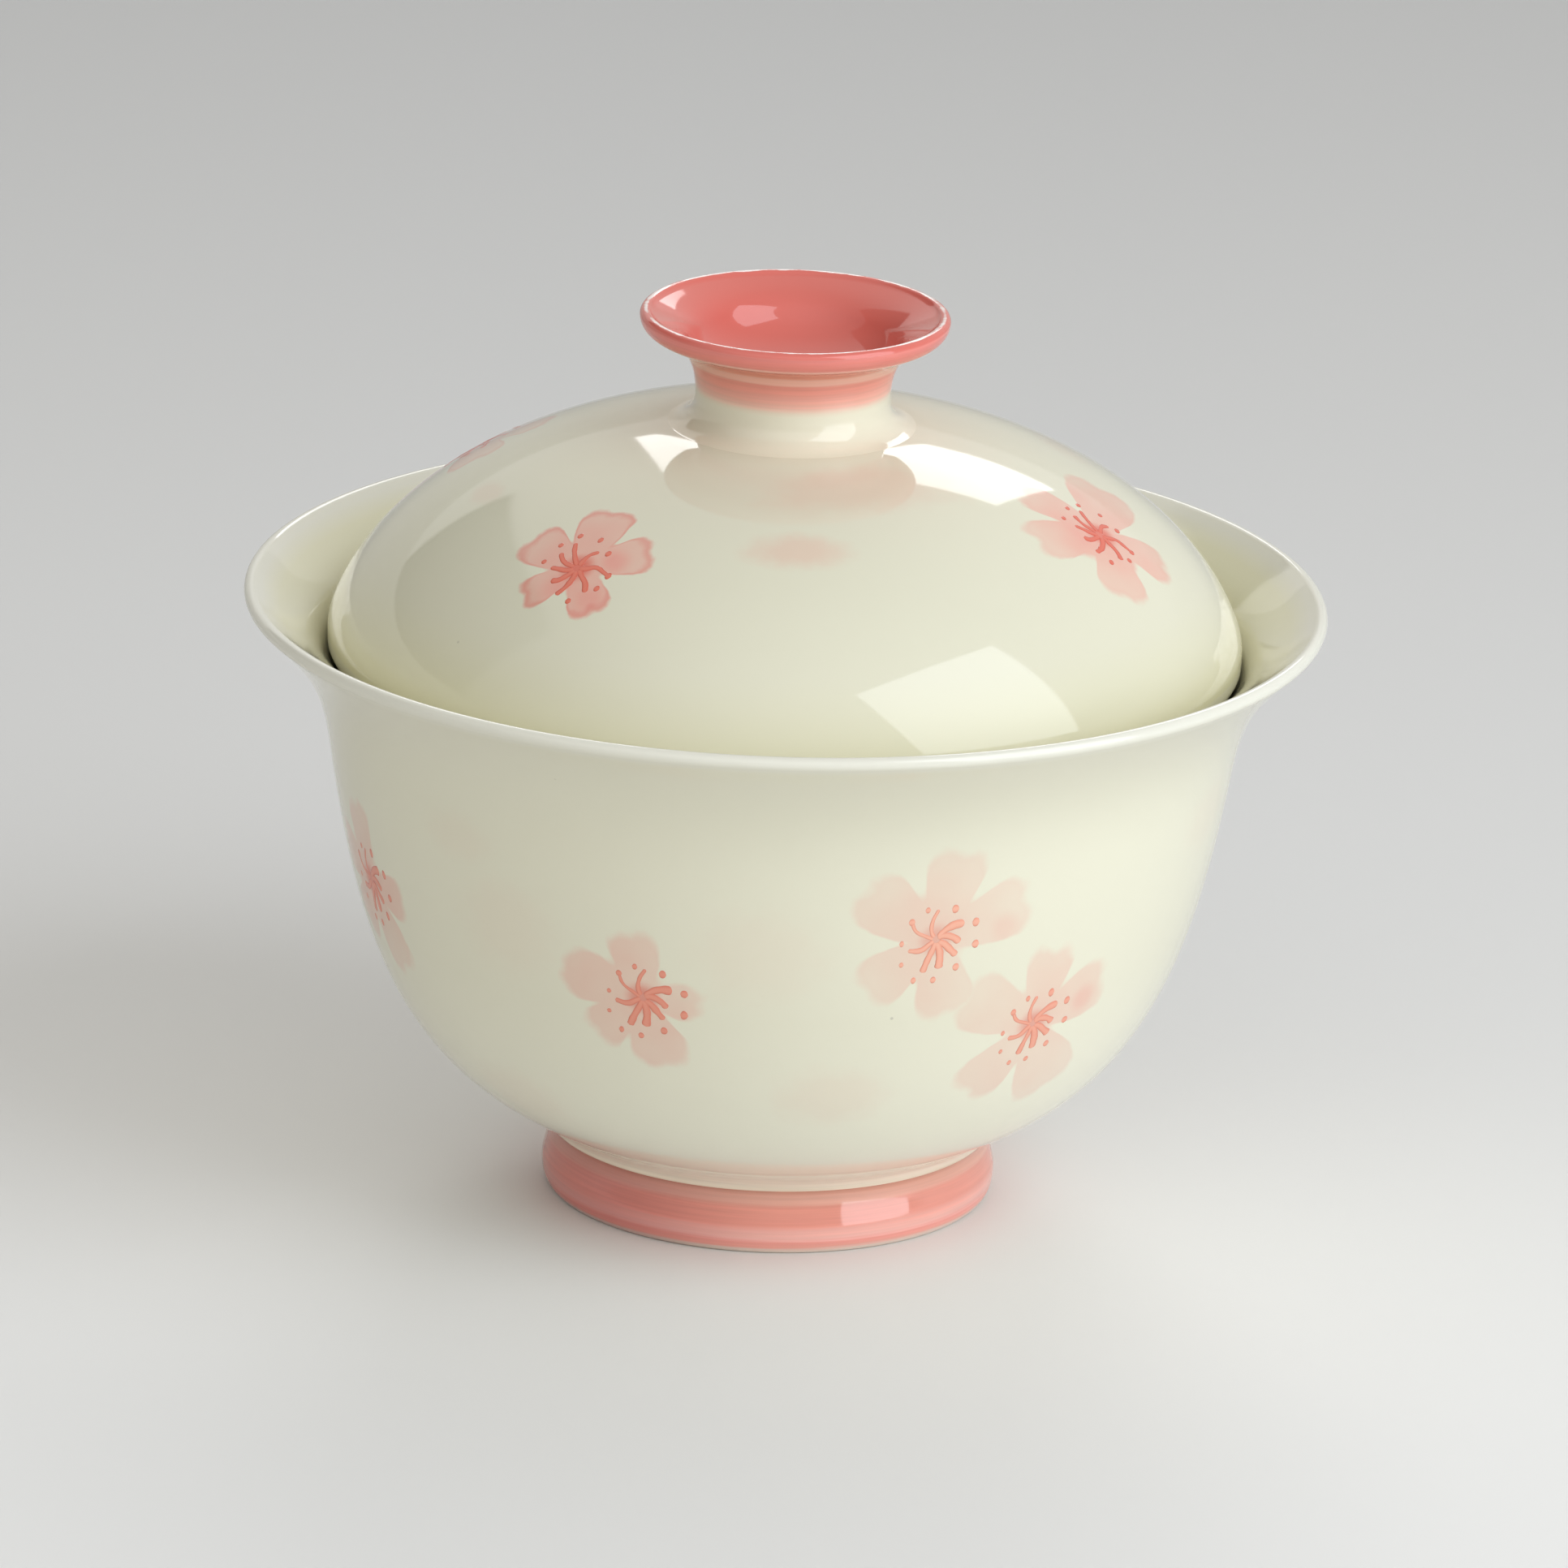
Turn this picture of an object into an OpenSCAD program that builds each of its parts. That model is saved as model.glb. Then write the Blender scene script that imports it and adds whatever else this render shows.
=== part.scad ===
// Lidded porcelain tea bowl: a deep flared bowl on a foot ring, and a domed lid with a cup-shaped knob.
// The origin is on the surface that the foot ring stands on, under the centre of the bowl. +Z is up.

/* [Bowl] */
// Diameter across the outside of the flared lip
rim_d = 105; // [103:0.5:108]
// Height of the lip above the table
bowl_h = 60.3; // [59:0.1:62]
// Outside diameter of the wall where it stands steepest, below the flare
wall_d = 87; // [86:0.5:88]
// Height at which the wall stands steepest
wall_z = 42; // [40:0.5:43]
// Thickness of the rounded lip
lip_t = 1.4; // [1.2:0.1:1.8]
// Thickness of the wall from just below the lip down
wall_t = 2.6; // [2.2:0.1:2.8]
// Thickness of the bowl's floor
floor_t = 3.4; // [3:0.1:4.5]

/* [Foot ring] */
// Largest diameter of the foot ring
foot_d = 44.3; // [42:0.1:46]
// Height of the foot ring
foot_h = 6.4; // [5.5:0.1:6.6]
// Width of the ring's wall
foot_t = 3.6; // [3:0.1:5]

/* [Lid] */
// Largest diameter of the lid, at its edge
lid_d = 88.7; // [87:0.1:90]
// Height of the lid's flat crown above the centre of its rounded edge
lid_rise = 22.5; // [20:0.5:24]
// Thickness of the lid
lid_t = 2.6; // [2.2:0.1:3]
// Space left between the lid's edge and the flare that it rests on
seat_gap = 0.3; // [0.2:0.05:0.5]

/* [Knob] */
// Diameter across the knob's lip
knob_d = 30; // [28:0.5:33]
// Height of the knob above the lid's crown
knob_h = 11.2; // [10.5:0.1:13]
// Diameter of the knob's waist
neck_d = 18.9; // [17.5:0.1:20]
// Depth of the hollow in the top of the knob
cup_depth = 6.4; // [5:0.1:7]

/* [Hidden] */
$fn = 96;

ivory = [0.91, 0.90, 0.82];
rose = [0.86, 0.50, 0.46];
steps = 20;            // straight stretches along each curve of a profile
crown_r = 12;          // radius of the flat that the knob stands on
flare_depth = 5.5;     // how far below the lip the wall reaches its full thickness
edge_band = 1.3;       // upright band above the round of the lid's edge
lip_r = lip_t / 2;
edge_r = lid_t / 2;
bead_r = 0.6;          // round of the knob's lip

// A point at distance d from p, in the direction that is a degrees above horizontal
function along(p, a, d) = p + d * [cos(a), sin(a)];

// Points of the cubic curve from a to d with control points b and c, without its last point
function curve(a, b, c, d, n = steps) = [for (i = [0 : n - 1]) let (t = i / n, u = 1 - t)
    u * u * u * a + 3 * u * u * t * b + 3 * u * t * t * c + t * t * t * d];

// Points of an arc about c from angle a0 to angle a1, both ends included
function arc(c, r, a0, a1, n = 8) = [for (i = [0 : n]) along(c, a0 + (a1 - a0) * i / n, r)];

function reversed(v) = [for (i = [len(v) - 1 : -1 : 0]) v[i]];

// Unit normal on the left of a line of points, at point i
function left_normal(v, i) = let (p = v[max(i - 1, 0)], q = v[min(i + 1, len(v) - 1)], d = q - p)
    [-d.y, d.x] / norm(d);

// ---- Bowl profile, as [radius, height], from the foot out and up to the lip ----
lip_angle = 41;                                   // slope of the flare where it meets the lip
root = [foot_d / 2 - 0.5, foot_h];                // corner where the wall leaves the foot ring
heel = [foot_d / 2 + 1.85, foot_h + 2.2];         // end of the small fillet above that corner
heel_angle = 25;
waist = [wall_d / 2, wall_z];
waist_angle = 80.3;
lip = [rim_d / 2 - lip_r, bowl_h - lip_r];        // centre of the round of the lip
flare_end = along(lip, lip_angle - 90, lip_r);

bowl_outside = concat(
    curve(root, along(root, 82, 0.8), along(heel, heel_angle, -1.4), heel, 6),
    curve(heel, along(heel, heel_angle, 13.7), along(waist, waist_angle, -17.5), waist),
    curve(waist, along(waist, waist_angle, 6.8), along(flare_end, lip_angle, -10), flare_end),
    [flare_end]);

// Wall thickness at height z: lip_t at the lip, wall_t below the flare, floor_t at the foot
function smooth(t) = let (x = min(max(t, 0), 1)) x * x * (3 - 2 * x);
function thickness(z) = lip_t + (wall_t - lip_t) * smooth((flare_end.y - z) / flare_depth)
    + (floor_t - wall_t) * smooth((wall_z / 2 - z) / (wall_z / 2 - heel.y));

wall_points = [for (p = bowl_outside) if (p.x > heel.x - 0.01) p];
bowl_inside = [for (i = [len(wall_points) - 1 : -1 : 0])
    wall_points[i] + thickness(wall_points[i].y) * left_normal(wall_points, i)];
last_inside = bowl_inside[len(bowl_inside) - 1];
floor_z = foot_h + floor_t;
floor_points = curve(last_inside, along(last_inside, heel_angle, -4.5), [7, floor_z], [0, floor_z], 10);
lip_round = arc(lip, lip_r, lip_angle - 90, lip_angle + 90);

module bowl_body() {
    color(ivory) rotate_extrude()
        polygon(concat([[0, foot_h]], bowl_outside, [for (i = [1 : 7]) lip_round[i]], bowl_inside,
                       [for (i = [1 : len(floor_points) - 1]) floor_points[i]], [[0, floor_z]]));
}

// ---- Foot ring: bulges below the middle and turns in to a narrow contact face ----
contact_out = foot_d / 2 - 0.85;
contact_in = foot_d / 2 - foot_t + 0.4;
bulge = [foot_d / 2, 2];
foot_outside = concat(
    curve([contact_out, 0], [contact_out + 0.5, 0.1], bulge - [0, 1], bulge, 8),
    curve(bulge, bulge + [0, 1.5], root - [0, 1.5], root, 8),
    [root]);

module foot_ring() {
    color(rose) rotate_extrude()
        polygon(concat(foot_outside, [[root.x - foot_t - 0.6, foot_h]],
                       curve([root.x - foot_t - 0.4, foot_h - 1], [root.x - foot_t, foot_h - 3],
                             [contact_in - 0.35, 1], [contact_in, 0], 6),
                       [[contact_in, 0]]));
}

// ---- Lid: its edge comes down inside the flare until it is seat_gap away from it ----
edge_x = lid_d / 2 - edge_r;
reach = edge_r + seat_gap;
seat_z = max([for (p = bowl_inside) if (abs(p.x - edge_x) < reach) p.y + sqrt(reach * reach - pow(p.x - edge_x, 2))]);
crown = [crown_r, seat_z + lid_rise];
edge_top = [lid_d / 2, seat_z + edge_band];
crown_angle = -8;

dome_outside = concat(
    curve(edge_top, edge_top + [0, 2.8], along(crown, crown_angle, 26), crown),
    [crown]);
dome_inside = [for (i = [len(dome_outside) - 1 : -1 : 0])
    dome_outside[i] + lid_t * left_normal(dome_outside, i)];
crown_inside = dome_inside[0];
crown_under = crown_inside.y - crown_r / 2 * tan(crown_angle);
edge_round = arc([edge_x, seat_z], edge_r, 180, 360, 12);

module lid_dome() {
    color(ivory) rotate_extrude()
        polygon(concat(edge_round, dome_outside, [[0, crown.y], [0, crown_under]],
                       reversed(curve(crown_inside, [crown_r / 2, crown_under], [crown_r / 4, crown_under],
                                      [0, crown_under], 8)),
                       [for (i = [1 : len(dome_inside) - 2]) dome_inside[i]]));
}

// ---- Knob: a solid waist that opens upwards into a small cup with a rounded lip ----
knob_top = crown.y + knob_h;
neck = [neck_d / 2, crown.y + 2.7];
bead = [knob_d / 2 - bead_r, knob_top - bead_r];
bead_under = along(bead, -50, bead_r);
bead_inner = along(bead, 150, bead_r);
cup_z = knob_top - cup_depth;

knob_profile = concat(
    [[0, crown.y]],
    curve(crown, along(crown, crown_angle, -1.3), neck - [0, 1.6], neck, 8),
    curve(neck, neck + [0, 4.9], along(bead_under, 43, -3.4), bead_under, 14),
    arc(bead, bead_r, -50, 150),
    [for (i = [1 : 13]) curve(bead_inner, along(bead_inner, -120, 3.2), [7.5, cup_z], [0, cup_z], 14)[i]],
    [[0, cup_z]]);

module lid_knob() {
    color(rose) rotate_extrude() polygon(knob_profile);
}

bowl_body();
foot_ring();
lid_dome();
lid_knob();
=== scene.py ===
# Lidded porcelain tea bowl with cherry blossoms painted by hand. Profiles are drawn in millimetres,
# as (radius, height) from the table up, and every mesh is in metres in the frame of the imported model.
import math
import bpy
import bmesh
from mathutils import Matrix, Vector


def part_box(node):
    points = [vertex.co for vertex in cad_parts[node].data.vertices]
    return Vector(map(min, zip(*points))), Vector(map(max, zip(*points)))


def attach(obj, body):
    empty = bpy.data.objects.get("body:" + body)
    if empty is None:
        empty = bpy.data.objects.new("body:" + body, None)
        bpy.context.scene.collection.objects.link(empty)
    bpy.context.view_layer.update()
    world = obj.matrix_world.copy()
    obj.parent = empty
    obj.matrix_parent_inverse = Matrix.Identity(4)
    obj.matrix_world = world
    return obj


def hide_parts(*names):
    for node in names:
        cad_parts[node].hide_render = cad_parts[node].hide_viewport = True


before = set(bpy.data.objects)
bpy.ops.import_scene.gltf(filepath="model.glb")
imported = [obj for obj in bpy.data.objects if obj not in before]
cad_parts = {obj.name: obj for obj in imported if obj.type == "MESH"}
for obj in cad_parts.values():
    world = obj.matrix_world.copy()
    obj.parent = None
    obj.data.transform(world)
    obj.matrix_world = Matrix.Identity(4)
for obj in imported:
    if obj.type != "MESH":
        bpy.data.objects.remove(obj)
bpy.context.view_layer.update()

# ---- Bowl body -------------------------------------------------------------------------------------
# A deep round wall with a thin flared lip, thrown in porcelain, turned to an even wall and dipped in
# a clear glossy glaze that fires to a warm ivory. It stands on the foot ring, luted on with slip.
MM = 0.001
LOW, HIGH = 0, 1


def corner(node_name, which):
    """The lowest or highest corner of a CAD node, in millimetres."""
    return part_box(node_name)[which] / MM


rim_r = corner("bowl_body", HIGH).x
bowl_h = corner("bowl_body", HIGH).z
foot_h = corner("bowl_body", LOW).z
foot_r = corner("foot_ring", HIGH).x
waist_r, waist_z, waist_angle = 43.5, 42.0, 80.3      # where the wall stands steepest
lip_t, wall_t, floor_t = 1.4, 2.6, 3.4                # thickness at the lip, wall and floor
lip_angle = 41.0                                      # slope of the flare at the lip
flare_depth = 5.5                                     # the wall thins to the lip over this height
heel_angle = 25.0                                     # slope of the wall just above the foot


def point(radius, height):
    return Vector((radius, height))


def along(start, degrees, distance):
    """The point at a distance from start, in a direction measured from level."""
    turn = math.radians(degrees)
    return start + distance * point(math.cos(turn), math.sin(turn))


def curve(a, b, c, d, steps=24):
    """Points of the cubic curve from a to d with handles b and c, without its last point."""
    points = []
    for i in range(steps):
        t = i / steps
        u = 1 - t
        points.append(u ** 3 * a + 3 * u * u * t * b + 3 * u * t * t * c + t ** 3 * d)
    return points


def arc(centre, radius, start, end, steps=12):
    """Points of a round from one angle to another, both ends included."""
    return [along(centre, start + (end - start) * i / steps, radius) for i in range(steps + 1)]


def smooth(t):
    t = min(max(t, 0.0), 1.0)
    return t * t * (3 - 2 * t)


def inner_face(outline, thickness):
    """The outline moved to its left by a thickness that depends on height, then turned to run back."""
    moved = []
    last = len(outline) - 1
    for i, p in enumerate(outline):
        run = (outline[min(i + 1, last)] - outline[max(i - 1, 0)]).normalized()
        moved.append(p + thickness(p.y) * point(-run.y, run.x))
    return moved[::-1]


lip_r = lip_t / 2
lip = point(rim_r - lip_r, bowl_h - lip_r)
flare_end = along(lip, lip_angle - 90, lip_r)
root = point(foot_r - 0.5, foot_h)
heel = point(foot_r + 1.85, foot_h + 2.2)
waist = point(waist_r, waist_z)
floor_z = foot_h + floor_t


def bowl_thickness(height):
    thinning = smooth((flare_end.y - height) / flare_depth)
    thickening = smooth((waist_z / 2 - height) / (waist_z / 2 - heel.y))
    return lip_t + (wall_t - lip_t) * thinning + (floor_t - wall_t) * thickening


bowl_fillet = curve(root, along(root, 82, 0.8), along(heel, heel_angle, -1.4), heel, 6)
bowl_wall = (
    curve(heel, along(heel, heel_angle, 13.7), along(waist, waist_angle, -17.5), waist)
    + curve(waist, along(waist, waist_angle, 6.8), along(flare_end, lip_angle, -10), flare_end)
    + [flare_end]
)
bowl_inside = inner_face(bowl_wall, bowl_thickness)
bowl_floor = curve(bowl_inside[-1], along(bowl_inside[-1], heel_angle, -4.5),
                   point(7, floor_z), point(0, floor_z), 10)
bowl_profile = (
    [point(0, foot_h)] + bowl_fillet + bowl_wall
    + arc(lip, lip_r, lip_angle - 90, lip_angle + 90)[1:-1]
    + bowl_inside + bowl_floor[1:] + [point(0, floor_z)]
)


def add(tree, kind, links=None, **settings):
    """Adds a node, sets it up, and links or fills its inputs by name or number."""
    made = tree.nodes.new(kind)
    for name, value in settings.items():
        setattr(made, name, value)
    for key, value in (links or {}).items():
        if isinstance(value, bpy.types.NodeSocket):
            tree.links.new(value, made.inputs[key])
        else:
            made.inputs[key].default_value = value
    return made


def geometry_tree(name, inputs):
    """A geometry tree with its named inputs, and its input and output nodes."""
    tree = bpy.data.node_groups.new(name, "GeometryNodeTree")
    for label, kind in [("Geometry", "NodeSocketGeometry")] + inputs:
        tree.interface.new_socket(label, in_out="INPUT", socket_type=kind)
    tree.interface.new_socket("Geometry", in_out="OUTPUT", socket_type="NodeSocketGeometry")
    return tree, tree.nodes.new("NodeGroupInput").outputs, tree.nodes.new("NodeGroupOutput").inputs


def run_tree(name, data, tree, values):
    """Runs a geometry tree on a mesh or curve and gives back its result as a plain mesh object."""
    source = bpy.data.objects.new(name + "_source", data)
    bpy.context.scene.collection.objects.link(source)
    modifier = source.modifiers.new(tree.name, "NODES")
    modifier.node_group = tree
    sockets = {item.name: item.identifier for item in tree.interface.items_tree if item.in_out == "INPUT"}
    for label, value in values.items():
        modifier[sockets[label]] = value
    ready = source.evaluated_get(bpy.context.evaluated_depsgraph_get())
    mesh = bpy.data.meshes.new_from_object(ready)
    source.modifiers.remove(modifier)
    bpy.data.objects.remove(source)
    mesh.name = name
    piece = bpy.data.objects.new(name, mesh)
    bpy.context.scene.collection.objects.link(piece)
    return piece


# The wheel: a grid whose rows are the profile's points is wrapped round the axis, and its seam and
# its poles are merged shut.
wheel, given, result = geometry_tree("potters_wheel", [
    ("Segments", "NodeSocketInt"), ("Sharp Edge Angle", "NodeSocketFloat"),
    ("Glaze", "NodeSocketMaterial")])
rows = add(wheel, "GeometryNodeAttributeDomainSize", {0: given["Geometry"]}).outputs["Point Count"]
columns = add(wheel, "ShaderNodeMath", {0: given["Segments"], 1: 1.0}, operation="ADD").outputs[0]
clay = add(wheel, "GeometryNodeMeshGrid", {"Size X": 1.0, "Size Y": 1.0, "Vertices X": columns,
                                           "Vertices Y": rows}).outputs["Mesh"]
spot = add(wheel, "ShaderNodeVectorMath", {0: add(wheel, "GeometryNodeInputPosition").outputs[0],
                                           1: (0.5, 0.5, 0.0)}, operation="ADD").outputs[0]
spot = add(wheel, "ShaderNodeSeparateXYZ", {0: spot}).outputs
last_row = add(wheel, "ShaderNodeMath", {0: rows, 1: 1.0}, operation="SUBTRACT").outputs[0]
row = add(wheel, "ShaderNodeMath", {0: spot["Y"], 1: last_row}, operation="MULTIPLY").outputs[0]
row = add(wheel, "ShaderNodeMath", {0: row}, operation="ROUND").outputs[0]
drawn = add(wheel, "GeometryNodeSampleIndex", {
    "Geometry": given["Geometry"], "Value": add(wheel, "GeometryNodeInputPosition").outputs[0],
    "Index": row},
    data_type="FLOAT_VECTOR", domain="POINT").outputs["Value"]
turn = add(wheel, "ShaderNodeMath", {0: spot["X"], 1: 2 * math.pi}, operation="MULTIPLY").outputs[0]
thrown = add(wheel, "ShaderNodeVectorRotate", {"Vector": drawn, "Angle": turn},
             rotation_type="Z_AXIS").outputs[0]
clay = add(wheel, "GeometryNodeSetPosition", {"Geometry": clay, "Position": thrown}).outputs[0]
clay = add(wheel, "GeometryNodeMergeByDistance", {"Geometry": clay, "Distance": 1e-7}).outputs[0]
fold = add(wheel, "GeometryNodeInputMeshEdgeAngle").outputs["Unsigned Angle"]
sharp = add(wheel, "ShaderNodeMath", {0: fold, 1: given["Sharp Edge Angle"]},
            operation="LESS_THAN").outputs[0]
clay = add(wheel, "GeometryNodeSetShadeSmooth", {"Geometry": clay, "Shade Smooth": True},
           domain="FACE").outputs[0]
clay = add(wheel, "GeometryNodeSetShadeSmooth", {"Geometry": clay, "Shade Smooth": sharp},
           domain="EDGE").outputs[0]
clay = add(wheel, "GeometryNodeRealizeInstances", {"Geometry": clay}).outputs[0]
clay = add(wheel, "GeometryNodeSetMaterial", {"Geometry": clay, "Material": given["Glaze"]}).outputs[0]
wheel.links.new(clay, result["Geometry"])


def thrown_piece(name, profile, glaze):
    """Throws a profile on the wheel. Its faces point outwards."""
    drawing = bpy.data.meshes.new(name + "_profile")
    drawing.from_pydata([(p.x * MM, 0, p.y * MM) for p in profile],
                        [(i, i + 1) for i in range(len(profile) - 1)], [])
    piece = run_tree(name, drawing, wheel,
                     {"Segments": 288, "Sharp Edge Angle": math.radians(40), "Glaze": glaze})
    form = bmesh.new()
    form.from_mesh(piece.data)
    bmesh.ops.recalc_face_normals(form, faces=form.faces)
    if form.calc_volume(signed=True) < 0:
        bmesh.ops.reverse_faces(form, faces=form.faces)
    form.to_mesh(piece.data)
    form.free()
    return piece


def paint(hex_colour):
    """An sRGB hex colour as linear red, green, blue and alpha."""
    parts = [int(hex_colour[i:i + 2], 16) / 255 for i in (1, 3, 5)]
    return tuple(c / 12.92 if c <= 0.04045 else ((c + 0.055) / 1.055) ** 2.4 for c in parts) + (1.0,)


def new_material(name):
    """An empty material with its shader and output."""
    material = bpy.data.materials.new(name)
    material.use_nodes = True
    material.node_tree.nodes.clear()
    shader = add(material.node_tree, "ShaderNodeBsdfPrincipled")
    add(material.node_tree, "ShaderNodeOutputMaterial", {"Surface": shader.outputs[0]})
    return material, material.node_tree, shader.inputs


def on_wall(outline, azimuth, height):
    """Point on a wall in mm and its frame: right, up the wall, outwards. Azimuth 0 is at the front."""
    for low, high in zip(outline, outline[1:]):
        if low.y <= height <= high.y:
            break
    radius = low.x + (high.x - low.x) * (height - low.y) / (high.y - low.y)
    climb = (high - low).normalized()
    turn = math.radians(azimuth)
    away = Vector((math.sin(turn), -math.cos(turn), 0))
    right = Vector((math.cos(turn), math.sin(turn), 0))
    up = away * climb.x + Vector((0, 0, climb.y))
    place = away * radius + Vector((0, 0, height))
    return place, Matrix((right, up, right.cross(up))).transposed().to_euler()


PETAL_REACH = 12.0       # mm that a full-height petal curve stands for
PAINT_DEPTH = 2.2        # mm that the paint reaches into the wall, so the inside stays plain
GLAZE_IOR = 1.52         # refraction of the clear glaze


def petal_outline(petals, join):
    """Control points of a blossom's outline for a curve node: angle and radius, both as 0 to 1.
    Neighbouring petals part at the join, a share of their length."""
    petals = sorted((angle % 360, length) for angle, length in petals)
    points = []
    for i, (angle, length) in enumerate(petals):
        before = (angle - petals[i - 1][0]) % 360
        after = (petals[(i + 1) % len(petals)][0] - angle) % 360
        points.append((angle, 0.96 * length))
        for side, gap in ((-1, before), (1, after)):
            half = min(31.0, 0.48 * gap)
            for share, reach in ((0.28, 1.0), (0.58, 0.95), (0.82, 0.5 + join / 2), (1.0, join)):
                points.append((angle + side * share * half, reach * length))
        if after > 75:
            points.append((angle + after / 2, 2.9))
    knots = sorted(((angle + turn + 180) / 360, radius / PETAL_REACH)
                   for angle, radius in points for turn in (-360, 0, 360))
    inside = [knot for knot in knots if 0 < knot[0] < 1]
    first, last = knots[knots.index(inside[0]) - 1], inside[0]
    ends = first[1] + (last[1] - first[1]) * (0 - first[0]) / (last[0] - first[0])
    return [(0.0, ends)] + inside + [(1.0, ends)]


def ivory_glaze(name, outline, body, blossoms, smudges):
    """Ivory porcelain painted under the glaze. The eye sees washed pink petals with soft watery edges,
    a wavy mirror-like surface, and a few iron specks. Gives back the material and its paint."""
    material, tree, shader = new_material(name)
    here = add(tree, "ShaderNodeTexCoord").outputs["Object"]
    ragged = add(tree, "ShaderNodeTexNoise", {"Vector": here, "Scale": 420.0, "Detail": 3.0}).outputs["Fac"]
    ragged = add(tree, "ShaderNodeMath", {0: ragged, 1: 1.7, 2: -0.85}, operation="MULTIPLY_ADD").outputs[0]
    cloudy = add(tree, "ShaderNodeTexNoise", {"Vector": here, "Scale": 130.0, "Detail": 2.0}).outputs["Fac"]
    cloudy = add(tree, "ShaderNodeMapRange", {"Value": cloudy, 1: 0.3, 2: 0.7, 3: 0.72, 4: 1.18}).outputs[0]
    wash, rim, hub = 0.0, 0.0, 0.0
    for blossom in blossoms:
        place, facing = on_wall(outline, blossom["azimuth"], blossom["height"])
        local = add(tree, "ShaderNodeMapping", {
            "Vector": here, "Location": place * MM, "Rotation": facing, "Scale": (MM, MM, MM)},
            vector_type="TEXTURE").outputs[0]
        flat = add(tree, "ShaderNodeVectorMath", {0: local, 1: (1, 1, 0)}, operation="MULTIPLY").outputs[0]
        reach = add(tree, "ShaderNodeVectorMath", {0: flat}, operation="LENGTH").outputs["Value"]
        part = add(tree, "ShaderNodeSeparateXYZ", {0: local}).outputs
        angle = add(tree, "ShaderNodeMath", {0: part["Y"], 1: part["X"]}, operation="ARCTAN2").outputs[0]
        share = add(tree, "ShaderNodeMath", {0: angle, 1: 0.5 / math.pi, 2: 0.5},
                    operation="MULTIPLY_ADD").outputs[0]
        edge = add(tree, "ShaderNodeFloatCurve", {"Value": share})
        knots = petal_outline(blossom["petals"], blossom.get("join", 0.55))
        line = edge.mapping.curves[0].points
        line[0].location, line[1].location = knots[0], knots[-1]
        for knot in knots[1:-1]:
            line.new(*knot)
        for spot in line:
            spot.handle_type = "AUTO_CLAMPED"
        edge.mapping.update()
        gap = add(tree, "ShaderNodeMath", {0: edge.outputs[0], 1: -PETAL_REACH, 2: reach},
                  operation="MULTIPLY_ADD").outputs[0]
        gap = add(tree, "ShaderNodeMath", {0: gap, 1: ragged}, operation="ADD").outputs[0]
        outside = add(tree, "ShaderNodeMath", {0: part["Z"], 1: -PAINT_DEPTH},
                      operation="GREATER_THAN").outputs[0]
        fill = add(tree, "ShaderNodeMapRange",
                   {"Value": gap, 1: blossom["soft"], 2: -blossom["soft"], 3: 0.0, 4: outside},
                   interpolation_type="SMOOTHSTEP").outputs[0]
        pool = add(tree, "ShaderNodeMapRange", {"Value": gap, 1: -1.15, 2: -0.25, 3: 0.0, 4: fill},
                   interpolation_type="SMOOTHSTEP").outputs[0]
        pool = add(tree, "ShaderNodeMapRange", {"Value": reach, 1: 3.0, 2: 5.0, 3: 0.0, 4: pool}).outputs[0]
        fade = add(tree, "ShaderNodeMapRange", {"Value": reach, 1: 2.0, 2: 10.0, 3: 1.25 * blossom["wash"],
                                                4: 0.8 * blossom["wash"]}).outputs[0]
        shade = add(tree, "ShaderNodeMath", {0: fill, 1: fade}, operation="MULTIPLY").outputs[0]
        for x, y, strength in blossom["blots"]:
            away = add(tree, "ShaderNodeVectorMath", {0: flat, 1: (x, y, 0)},
                       operation="DISTANCE").outputs["Value"]
            blot = add(tree, "ShaderNodeMapRange", {"Value": away, 1: 2.1, 2: 0.5, 3: 0.0, 4: strength},
                       interpolation_type="SMOOTHSTEP").outputs[0]
            shade = add(tree, "ShaderNodeMath", {0: blot, 1: fill, 2: shade},
                        operation="MULTIPLY_ADD").outputs[0]
        pool = add(tree, "ShaderNodeMath", {0: pool, 1: blossom["rim"]}, operation="MULTIPLY").outputs[0]
        stain = add(tree, "ShaderNodeMapRange", {"Value": reach, 1: 2.2, 2: 0.7, 3: 0.0, 4: outside},
                    interpolation_type="SMOOTHSTEP").outputs[0]
        stain = add(tree, "ShaderNodeMath", {0: stain, 1: blossom["hub"]}, operation="MULTIPLY").outputs[0]
        wash = add(tree, "ShaderNodeMath", {0: wash, 1: shade}, operation="MAXIMUM").outputs[0]
        rim = add(tree, "ShaderNodeMath", {0: rim, 1: pool}, operation="MAXIMUM").outputs[0]
        hub = add(tree, "ShaderNodeMath", {0: hub, 1: stain}, operation="MAXIMUM").outputs[0]
    haze = 0.0
    for azimuth, height, half_width, half_height, strength in smudges:
        place, facing = on_wall(outline, azimuth, height)
        spread = (half_width * MM, half_height * MM, PAINT_DEPTH * MM)
        local = add(tree, "ShaderNodeMapping", {
            "Vector": here, "Location": place * MM, "Rotation": facing, "Scale": spread},
            vector_type="TEXTURE").outputs[0]
        away = add(tree, "ShaderNodeVectorMath", {0: local}, operation="LENGTH").outputs["Value"]
        away = add(tree, "ShaderNodeMath", {0: ragged, 1: 0.35, 2: away},
                   operation="MULTIPLY_ADD").outputs[0]
        smear = add(tree, "ShaderNodeMapRange", {"Value": away, 1: 1.15, 2: 0.35, 3: 0.0, 4: strength},
                    interpolation_type="SMOOTHSTEP").outputs[0]
        haze = add(tree, "ShaderNodeMath", {0: haze, 1: smear}, operation="MAXIMUM").outputs[0]
    wash = add(tree, "ShaderNodeMath", {0: wash, 1: cloudy}, operation="MULTIPLY").outputs[0]
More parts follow.
